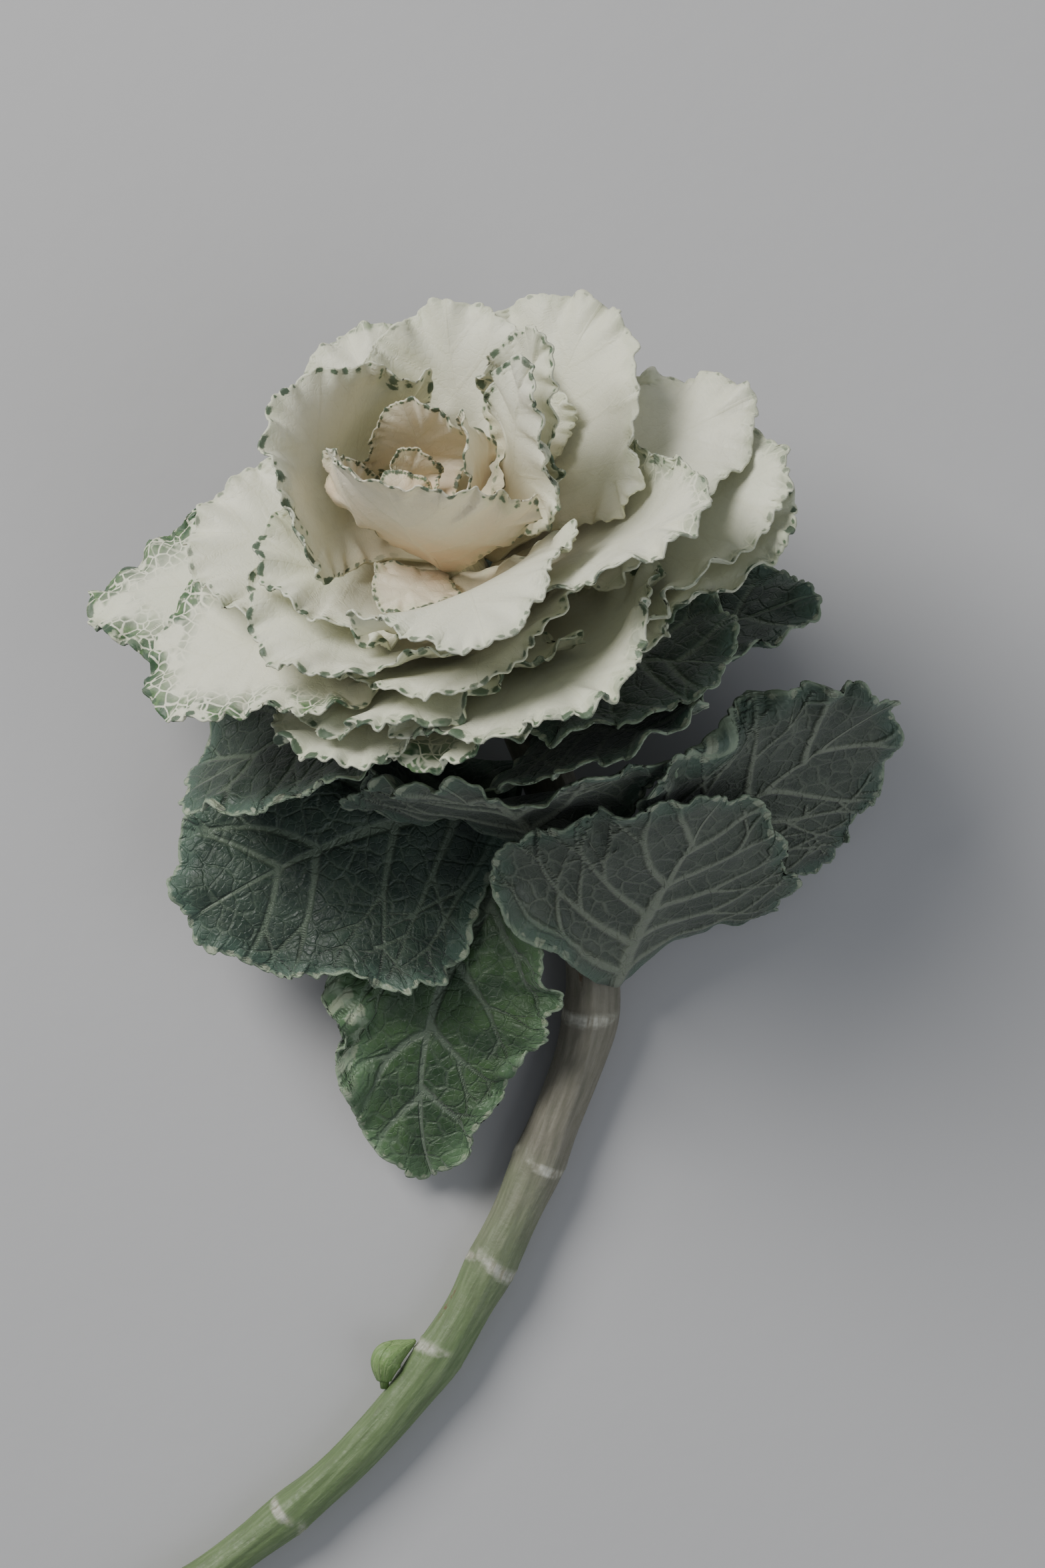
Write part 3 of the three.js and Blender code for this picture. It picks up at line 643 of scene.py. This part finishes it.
def green_leaf(name):
    """A dark green leaf, its upper face partly its own dark green and partly painted shade: pale veins, sunk
    above and raised below, a pale margin, and a greyer under side.
    """
    p = Paint(name)
    main, net, mesh = leaf_veins(p, 1.15)
    fresh, warm = p.part("tone", 0), p.part("tone", 1)
    broad, middle, fine = p.noise(0.05), p.noise(0.16, detail=4.0), p.noise(0.9, detail=5.0)
    under = p.part("place", 2)
    # the upper face's dark greens are partly the leaf's own colour and partly painted shade, darkened for
    # leaves that lie in shade
    above = p.mix(p.step(middle, 0.35, 0.7), (0.017, 0.034, 0.024), (0.034, 0.062, 0.042))
    freshest = p.mix(p.step(middle, 0.3, 0.65), (0.022, 0.055, 0.020), (0.060, 0.125, 0.042))
    above = p.mix(fresh, above, freshest)
    below = p.mix(p.step(middle, 0.35, 0.7), (0.058, 0.074, 0.056), (0.090, 0.110, 0.082))
    below = p.mix(warm, below, (0.085, 0.080, 0.05))
    colour = p.mix(under, above, below)
    colour = p.mix(p.step(fine, 0.4, 0.75, 0.0, 0.3), colour, (0.095, 0.125, 0.085))
    pale_vein = p.mix(under, (0.125, 0.165, 0.115), (0.24, 0.27, 0.20))
    colour = p.mix(p.times(mesh, 0.14), colour, pale_vein)
    colour = p.mix(p.times(net, p.step(broad, 0.35, 0.65, 0.12, 0.4)), colour, pale_vein)
    colour = p.mix(p.times(main, p.step(p.part("place", 1), 0.0, 1.0, 0.9, 0.55)), colour, pale_vein)
    deep = p.part("margin", 0)
    ragged = p.add(deep, p.swing(middle, 8.0))
    band = p.fall(ragged, 0.3, 5.0)
    colour = p.mix(p.times(band, 0.6), colour, p.mix(fresh, (0.095, 0.165, 0.12), (0.14, 0.25, 0.12)))
    rim = p.fall(p.add(deep, p.swing(fine, 0.9)), 0.15, 0.75)
    colour = p.mix(p.times(p.times(rim, p.part("vein", 1)), 0.7), colour, (0.34, 0.42, 0.29))
    spot, _ = tooth_spots(p, 0.1, 0.6, 0.7)
    colour = p.mix(p.times(spot, 0.55), colour, (0.52, 0.56, 0.40))
    rough = p.step(fine, 0.3, 0.7, 0.36, 0.56)
    relief = p.add(p.times(main, 1.0), p.add(p.times(net, 0.45), p.times(mesh, 0.15)))
    relief = p.times(relief, p.add(p.times(under, 1.8), -0.9))
    height = p.add(relief, p.times(fine, 0.35))
    return p.finish(colour, rough, height, 0.4, soft=0.06, tint=(0.5, 0.9, 0.3), sheen=0.15)


def stem_skin():
    """The stem: greyish tan at the head and green below, with whitish leaf scars and a pale cut end."""
    p = Paint("stem_skin")
    along = p.part("place", 0)
    stretched = p.node("VectorMath", inputs={0: p.vector("flat"), 1: (1.0, 0.12, 1.0)}, operation="MULTIPLY")
    streaks, fine = p.noise(1.3, stretched, detail=4.0), p.noise(1.1, detail=5.0)
    broad = p.noise(0.07)
    shift = p.add(along, p.swing(broad, 0.16))
    colour = p.mix(p.step(shift, 0.02, 0.16), (0.66, 0.62, 0.42), (0.20, 0.19, 0.145))
    green_part = p.step(shift, 0.50, 0.68)
    colour = p.mix(green_part, colour, (0.135, 0.20, 0.085))
    colour = p.mix(p.step(streaks, 0.42, 0.68, 0.0, 0.5), colour,
                   p.mix(green_part, (0.29, 0.275, 0.22), (0.24, 0.31, 0.165)))
    colour = p.mix(p.step(streaks, 0.30, 0.46, 0.35, 0.0), colour, (0.12, 0.135, 0.085))
    marks = p.cells(0.22, stretched)
    mark = p.fall(marks, 0.06, 0.14)
    colour = p.mix(p.times(mark, p.step(fine, 0.4, 0.6)), colour, (0.16, 0.10, 0.055))
    scar, rim = p.part("scar", 0), p.part("scar", 1)
    colour = p.mix(p.times(rim, p.step(fine, 0.35, 0.65, 0.15, 0.6)), colour, (0.50, 0.50, 0.41))
    colour = p.mix(p.times(scar, p.step(fine, 0.3, 0.6, 0.5, 0.9)), colour,
                   p.mix(p.step(streaks, 0.35, 0.6), (0.30, 0.28, 0.21), (0.56, 0.56, 0.48)))
    cut, radius = p.part("cut", 0), p.part("cut", 1)
    pith = p.mix(p.step(radius, 0.5, 0.62), (0.70, 0.72, 0.52), (0.52, 0.56, 0.34))
    pith = p.mix(p.step(radius, 0.80, 0.88), pith, (0.22, 0.32, 0.13))
    pith = p.mix(p.step(p.noise(2.4), 0.5, 0.7, 0.0, 0.4), pith, (0.45, 0.36, 0.20))
    colour = p.mix(cut, colour, pith)
    rough = p.step(fine, 0.3, 0.7, 0.38, 0.6)
    height = p.add(p.times(streaks, 0.5), p.add(p.times(fine, 0.35), p.times(mark, -0.5)))
    return p.finish(colour, rough, height, 0.3, soft=0.05, tint=(0.8, 0.9, 0.4))


def bud_skin():
    """The side bud's scales: fresh green, paler at their tips, with fine ribs."""
    p = Paint("bud_skin")
    stretched = p.node("VectorMath", inputs={0: p.vector("flat"), 1: (1.0, 0.15, 1.0)}, operation="MULTIPLY")
    ribs, fine = p.noise(2.2, stretched), p.noise(1.5, detail=4.0)
    colour = p.mix(p.part("place", 0), (0.13, 0.23, 0.07), (0.26, 0.40, 0.15))
    colour = p.mix(p.step(ribs, 0.4, 0.7, 0.0, 0.5), colour, (0.36, 0.46, 0.22))
    colour = p.mix(p.step(fine, 0.5, 0.75, 0.0, 0.4), colour, (0.10, 0.15, 0.05))
    rough = p.step(fine, 0.3, 0.7, 0.35, 0.5)
    return p.finish(colour, rough, p.add(ribs, fine), 0.2, soft=0.1, tint=(0.5, 0.9, 0.3))


def floor_paint():
    """A plain pale board with the faintest unevenness."""
    p = Paint("floor_paint")
    where = p.node("TexCoord", "Object")
    broad, fine = p.noise(3.0, where), p.noise(160.0, where, detail=5.0)
    colour = p.mix(broad, (0.50, 0.50, 0.505), (0.54, 0.54, 0.54))
    return p.finish(colour, 0.85, p.add(p.times(broad, 0.5), p.times(fine, 0.5)), 0.15)


PALE_LEAVES = {
    # foot_reach: how far up the foot's colour goes, as a share of the length. The foot's colour is partly the
    # leaf's own and partly painted shade.
    # edge: how far in from the margin the blade is greenish.
    # spots: their least and greatest half-widths, and how far in from the margin they are.
    "heart": dict(blade=(0.78, 0.72, 0.56), foot=(0.74, 0.56, 0.37), foot_reach=0.75,
                  spots=(0.18, 0.44, 0.35), edge=1.6, soft=0.16),
    "white": dict(blade=(0.77, 0.775, 0.62), foot=(0.74, 0.64, 0.44), foot_reach=0.55,
                  spots=(0.2, 0.62, 0.5), edge=2.5, soft=0.12),
    "edged": dict(blade=(0.76, 0.775, 0.61), foot=(0.69, 0.66, 0.46), foot_reach=0.5,
                  spots=(0.25, 0.85, 0.6), edge=3.5, soft=0.12),
}
MATERIALS = {kind: pale_leaf(kind + "_leaf_skin", **look) for kind, look in PALE_LEAVES.items()}
MATERIALS["green"] = green_leaf("green_leaf_skin")


# ---------------------------------------------------------------- the stem and its side bud
def triangles(node):
    """How many triangles a node's mesh has."""
    return sum(len(face.vertices) - 2 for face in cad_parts[node].data.polygons)


def tube_rings(node, sides, first_is):
    """A tube's rings of points from the end that first_is prefers."""
    rings = (triangles(node) - 2 * (sides - 2)) // (2 * sides) + 1
    ways = [points.reshape(rings, sides, 3) for points in points_in_order(node, tube_faces(rings, sides))]
    return max(ways, key=first_is)


def carried_frames(line):
    """Two directions across a line at each of its points, turning as little as they can."""
    forwards = unit(np.gradient(line, axis=0))
    side = np.cross(forwards[0], (0.0, 0.0, 1.0))
    sides = []
    for way in forwards:
        side = unit(side - way * (side @ way))
        sides.append(side)
    sides = np.array(sides)
    return sides, np.cross(forwards, sides), forwards


def closed_tube(rows, columns):
    """The quads round a tube of rows of points."""
    i, j = np.meshgrid(np.arange(rows - 1), np.arange(columns), indexing="ij")
    k = (j + 1) % columns
    quads = np.stack([i * columns + j, i * columns + k, (i + 1) * columns + k, (i + 1) * columns + j], -1)
    return quads.reshape(-1, 4)


STEM_STEP, STEM_COLUMNS = 0.55, 72  # between rows of points, and how many are in a row
SCAR_SWELL = 0.2  # the least by which the stem swells at a leaf scar
FIRST_TURN, SCAR_TURN = 0.6, 2.4  # where the scars start round the stem, and their steps, in radians
SCAR_BOW = 1.4  # half of how far a scar's ring rises towards the head
RIDGES, RIDGE_HEIGHT = (3, 5, 8, 13), 0.05  # how many of each go round the stem
# The cut face, ring by ring inwards: each ring's share of the radius, and its height. The wood stands proud.
CUT_SHARES = (0.985, 0.93, 0.86, 0.78, 0.68, 0.56, 0.42, 0.28, 0.14, 0.03)
CUT_HEIGHTS = (0.10, 0.14, 0.16, 0.14, 0.05, -0.06, -0.12, -0.15, -0.16, -0.16)


def stem_scars(radii, length, along, around, rng):
    """The old leaf scars where the stem swells, the rims round them, and how far both stand out."""
    swell = np.zeros(len(radii))
    swell[2:-2] = radii[2:-2] - (radii[:-4] + radii[4:]) / 2
    marks = [k for k in range(2, len(radii) - 2)
             if swell[k] > SCAR_SWELL and swell[k] == swell[k - 1:k + 2].max()]
    scar, rim, offset = np.zeros((3, len(along), len(around)))
    turn = FIRST_TURN
    for k in marks:
        near = np.maximum(swell[k - 1:k + 2], 0)
        here = length * (k - 1 + near @ (0, 1, 2) / near.sum()) / (len(radii) - 1)
        turn += SCAR_TURN
        for extra, wide, tall in ((0.0, 1.5, 1.1), (2.6 + rng.uniform(-0.4, 0.4), 0.8, 0.8)):
            angle = (around - turn - extra + np.pi) % (2 * np.pi) - np.pi
            above = along[:, None] - here + SCAR_BOW * (1 - np.cos(angle[None]))
            d = np.sqrt((angle[None] / wide) ** 2 + (above / tall) ** 2)
            scar = np.maximum(scar, 1 - smooth((d - 0.75) / 0.3))
            rim = np.maximum(rim, np.exp(-((d - 1.1) / 0.16) ** 2))
            offset += 0.16 * np.exp(-((d - 1.0) / 0.3) ** 2) - 0.12 * (1 - smooth(d / 0.9))
            for bundle in (-0.5, 0.0, 0.5):
                d = np.hypot((angle[None] - bundle * wide) / 0.12, above / 0.5)
                offset += 0.1 * np.exp(-d ** 2)
    return scar, rim, offset


def build_stem():
    """The stem, from its growing tip to its slanted cut end."""
    rng = np.random.default_rng(7)
    rings = tube_rings("stem", STEM_SIDES, lambda r: r[0, :, 1].mean() - r[-1, :, 1].mean())
    centres = rings.mean(1)
    radii = np.linalg.norm(rings - centres[:, None], axis=2)
    round_radii = np.sqrt((radii ** 2).mean(1))
    round_radii[-1] = round_radii[-2]
    slant = rings[-1] - centres[-1]
    length = np.linalg.norm(np.diff(centres, axis=0), axis=1).sum()
    rows, columns = int(length / STEM_STEP), STEM_COLUMNS
    weights = spline_weights(len(rings), np.linspace(0, 1, rows))
    line, radius = weights @ centres, weights @ round_radii
    side, other, _ = carried_frames(line)
    along = np.linspace(0, length, rows)
    around = np.arange(columns) / columns * 2 * np.pi

    # the cut end's plane, from the last ring
    down_axis = unit(centres[-1] - centres[-2])
    plane = unit(np.linalg.svd(slant)[2][2])
    plane = plane if plane @ down_axis > 0 else -plane

    scar, rim, offset = stem_scars(round_radii, length, along, around, rng)
    ridges = sum(RIDGE_HEIGHT * np.sin(n * (around[None] + 0.02 * along[:, None]) + rng.uniform(0, 6.28))
                 for n in RIDGES)
    bulges = 0.10 * np.sin(around[None] + 0.045 * along[:, None] + 1.0) * np.sin(0.11 * along[:, None])
    shape = radius[:, None] + ridges + bulges + offset
    out = np.cos(around)[None, :, None] * side[:, None] + np.sin(around)[None, :, None] * other[:, None]
    points = line[:, None] + shape[..., None] * out
    points[..., 2] = np.maximum(points[..., 2], LOWEST)

    # the last stretch ends in the slanted cut
    end = centres[-1]
    depth = (points - end) @ plane
    per_step = down_axis @ plane
    points = points - np.where(depth > 0, depth / per_step, 0)[..., None] * down_axis
    last = points[-1]
    depth = (last - end) @ plane
    points[-1] = last - (depth / per_step)[:, None] * down_axis

    shares, heights = np.array(CUT_SHARES), np.array(CUT_HEIGHTS)
    middle = points[-1].mean(0)
    grain = rng.normal(0, 0.025, (len(shares), columns))
    cut_rings = (middle + shares[:, None, None] * (points[-1] - middle)[None]
                 + (heights[:, None] + grain)[..., None] * plane)
    body = np.concatenate([points, cut_rings])
    total = len(body)
    quads = closed_tube(total, columns)
    zero = np.zeros((len(shares), columns))
    radial = np.concatenate([np.ones((rows, columns)), np.repeat(shares[:, None], columns, 1)])
    place = np.concatenate([np.repeat((along / length)[:, None], columns, 1), zero + 1])
    arc = radius.mean() * np.minimum(around, 2 * np.pi - around)
    reach = shares[:, None] * radius[-1]
    flat_x = np.concatenate([np.repeat(arc[None], rows, 0), reach * np.cos(around)[None]])
    flat_y = np.concatenate([np.repeat(along[:, None], columns, 1), length + reach * np.sin(around)[None]])
    flat_z = 3 * np.repeat(np.sin(around)[None], total, 0)
    attributes = {
        "flat": np.stack([flat_x.ravel(), flat_y.ravel(), flat_z.ravel()], 1),
        "place": np.stack([place.ravel()] * 3, 1),
        "scar": np.stack([np.concatenate([scar, zero]).ravel(), np.concatenate([rim, zero]).ravel(),
                          np.zeros(total * columns)], 1),
        "cut": np.stack([np.concatenate([np.zeros((rows, columns)), zero + 1]).ravel(), radial.ravel(),
                         np.zeros(total * columns)], 1),
    }
    stem = mesh_object("stem_body", body.reshape(-1, 3), quads, attributes)
    work = bmesh.new()
    work.from_mesh(stem.data)
    work.verts.ensure_lookup_table()
    work.faces.new([work.verts[k] for k in range(columns)][::-1])
    work.faces.new([work.verts[(total - 1) * columns + k] for k in range(columns)])
    bmesh.ops.recalc_face_normals(work, faces=work.faces)
    work.to_mesh(stem.data)
    work.free()
    stem.data.materials.append(stem_skin())
    return stem


BUD_ROOT = 1.2  # how far the bud's foot goes into the stem
BUD_SCALES, SCALE_TURN = 6, 2.4  # how many, and how far round from each to the next, in radians
SCALE_THICKNESS = 0.3


def build_bud():
    """A pointed bud: a closed core with scales lying on it."""
    rings = tube_rings("side_bud", BUD_SIDES, lambda r: np.ptp(r[0], 0).max() - np.ptp(r[-1], 0).max())
    centres = rings.mean(1)
    radii = np.linalg.norm(rings - centres[:, None], axis=2).mean(1)
    rows, columns, scale_columns = 28, 24, 13
    weights = spline_weights(len(rings), np.linspace(0, 1, rows))
    line, radius = weights @ centres, np.maximum(weights @ radii, 0.05)
    core_radius = 0.9 * radius
    side, other, forwards = carried_frames(line)

    def at(values, share):
        return np.stack([np.interp(share, np.linspace(0, 1, rows), values[:, c]) for c in range(3)], 1)

    def skin(share, angle, size):
        """Points round the bud's line, at shares of its length."""
        around = (np.cos(angle)[..., None] * at(side, share)[:, None]
                  + np.sin(angle)[..., None] * at(other, share)[:, None])
        return at(line, share)[:, None] + around * size[..., None]

    whole = np.linspace(0, 1, rows)
    angle = np.repeat((np.arange(columns) / columns * 2 * np.pi)[None], rows, 0)
    core = skin(whole, angle, np.repeat(core_radius[:, None], columns, 1))
    core[0] -= BUD_ROOT * forwards[0]
    points, quads = [core.reshape(-1, 3)], [closed_tube(rows, columns)]
    place, flat = [np.repeat(whole, columns)], [(angle.ravel(), np.repeat(whole, columns))]
    start = rows * columns
    for k in range(BUD_SCALES):
        reach = 0.98 - 0.08 * k
        share = np.linspace(0.02, reach, rows)
        across = np.linspace(-1, 1, scale_columns)[None]
        narrow = np.sqrt(np.clip(1 - (share / reach) ** 2.6, 0.0004, 1))[:, None]
        angle = SCALE_TURN * k + (1.35 - 0.08 * k) * narrow * across
        lift = (0.16 + 0.07 * k) * (1 - (share / reach) ** 6)[:, None] - 0.14 * across ** 2
        size = np.interp(share, whole, core_radius)[:, None] + lift + 0.1 * np.exp(-(across / 0.2) ** 2)
        sheet, faces = closed_sheet(skin(share, angle, size), skin(share, angle, size - SCALE_THICKNESS))
        points.append(sheet)
        quads.append(faces + start)
        start += len(sheet)
        up = np.repeat(share, scale_columns)
        place.append(np.tile(up, 2))
        flat.append((np.tile(angle.ravel(), 2), np.tile(up, 2)))
    spread, up = (np.concatenate([pair[k] for pair in flat]) for k in (0, 1))
    bud = mesh_object("bud_scales", np.vstack(points), np.vstack(quads),
                      {"place": np.stack([np.concatenate(place)] * 3, 1),
                       "flat": np.stack([spread * radius.max(), up * 9, spread], 1)})
    work = bmesh.new()
    work.from_mesh(bud.data)
    bmesh.ops.holes_fill(work, edges=[edge for edge in work.edges if edge.is_boundary])
    bmesh.ops.recalc_face_normals(work, faces=work.faces)
    work.to_mesh(bud.data)
    work.free()
    bud.data.materials.append(bud_skin())
    return bud


# ---------------------------------------------------------------- the whole plant
# How green, how warm and how plain each leaf is; on a pale leaf, warmth carries the foot's colour, which is
# partly painted shade, further up. Leaves not named here take their kind's own.
TONES = {
    "heart": (0.0, 0.35, 0.0), "white": (0.0, 0.0, 0.0), "edged": (0.2, 0.0, 0.0), "green": (0.0, 0.0, 0.0),
}
LEAF_TONES = {
    "heart_leaf_1": (0.0, 0.6, 0.0), "heart_leaf_2": (0.0, 0.7, 0.0), "heart_leaf_3": (0.0, 0.7, 0.0),
    "white_leaf_4": (0.0, 0.0, 0.4), "white_leaf_6": (0.0, 0.0, 0.9), "white_leaf_7": (0.0, 0.0, 1.0),
    "white_leaf_8": (0.25, 0.0, 0.3), "white_leaf_10": (0.1, 0.0, 0.5), "white_leaf_12": (0.15, 0.0, 0.8),
    "white_leaf_13": (0.6, 0.0, 0.0), "white_leaf_14": (0.3, 0.0, 0.7),
    "edged_leaf_2": (0.8, 0.0, 0.0), "edged_leaf_4": (0.2, 0.0, 0.5), "edged_leaf_7": (1.0, 0.0, 0.0),
    "green_leaf_3": (0.0, 0.8, 0.0), "green_leaf_7": (0.0, 0.8, 0.0), "green_leaf_8": (0.1, 0.0, 0.0),
    "green_leaf_10": (0.9, 0.0, 0.0), "green_leaf_12": (0.1, 0.0, 0.0),
}

for node in sorted(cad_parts):
    kind = node.split("_")[0]
    if kind not in LOOKS:
        continue
    leaf = build_leaf(node, kind, int(node.split("_")[-1]), LEAF_TONES.get(node, TONES[kind]))
    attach(leaf, "root")
    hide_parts(node)

stem = build_stem()
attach(stem, "root")
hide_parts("stem")

bud = build_bud()
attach(bud, "root")
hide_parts("side_bud")


# ---------------------------------------------------------------- floor, light and camera
FLOOR_SIZE = 16.0
FLOOR_GAP = 0.00005  # keeps the floor's face off the leaves that lie on it


def build_floor():
    corners = FLOOR_SIZE / 2 * np.array([[-1.0, -1, 0], [1, -1, 0], [1, 1, 0], [-1, 1, 0]])
    corners[:, 2] = cad_box[0][2] - FLOOR_GAP
    floor = mesh_object("floor", corners / MM, [[0, 1, 2, 3]])
    floor.data.materials.append(floor_paint())


def area_light(name, place, aim, size, power, colour):
    light = bpy.data.lights.new(name, "AREA")
    light.shape, light.size, light.size_y = "RECTANGLE", size[0], size[1]
    light.energy, light.color = power, colour
    made = bpy.data.objects.new(name, light)
    made.location = place
    made.rotation_euler = (Vector(aim) - Vector(place)).to_track_quat("-Z", "Y").to_euler()
    bpy.context.scene.collection.objects.link(made)


build_floor()
area_light("key", (-0.8, 0.8, 0.85), (0, 0.03, 0.03), (0.7, 0.7), 21, (1.0, 0.98, 0.95))
area_light("fill", (0.9, -0.5, 0.9), (0, 0, 0.03), (1.2, 1.2), 4.5, (0.92, 0.96, 1.0))
world = bpy.data.worlds.new("studio")
world.use_nodes = True
world.node_tree.nodes["Background"].inputs["Color"].default_value = (0.86, 0.9, 1.0, 1.0)
world.node_tree.nodes["Background"].inputs["Strength"].default_value = 0.24
bpy.context.scene.world = world

camera_data = bpy.data.cameras.new("camera")
camera_data.sensor_fit = "VERTICAL"
camera_data.sensor_height = 36
camera_data.lens = 72
camera = bpy.data.objects.new("camera", camera_data)
camera.location = (0.0065, 0.036, 0.55)  # straight above, a little towards the head
bpy.context.scene.collection.objects.link(camera)
bpy.context.scene.camera = camera
